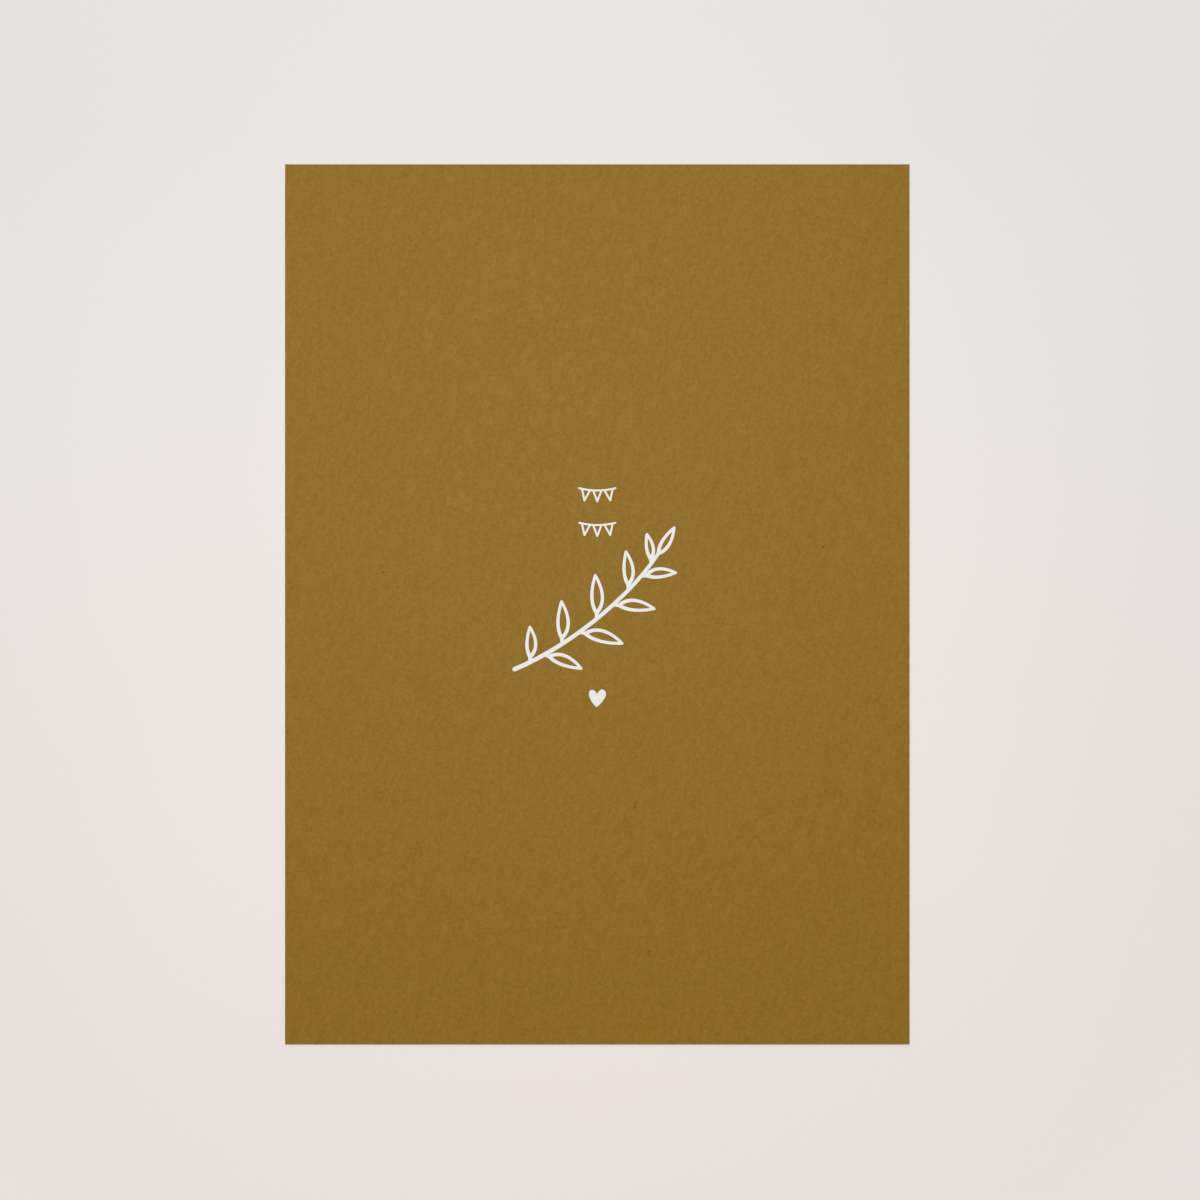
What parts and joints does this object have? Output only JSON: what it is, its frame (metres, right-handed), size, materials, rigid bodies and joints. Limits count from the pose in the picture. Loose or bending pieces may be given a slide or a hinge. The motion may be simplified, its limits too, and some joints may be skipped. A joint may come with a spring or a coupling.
{
  "type": "postcard",
  "caption": "Flat upright-format postcard of stiff uncoated board, its ochre printed face bearing a small white line sprig and a heart, its back plain.",
  "frame": {"origin": "middle of the back face, on the surface that the card lies on", "axes": "+X across the width to the right of the printed face, +Y along the length to the top of the card, +Z out of the printed face"},
  "size_m": [0.105, 0.148, 0.0004],
  "materials": {
    "printed_board": "matt uncoated board, ochre printed face with a soft fibre mottle, off-white unprinted marks, cut edges and back"
  },
  "bodies": {
    "root": {"card": "printed_board"}
  },
  "joints": []
}
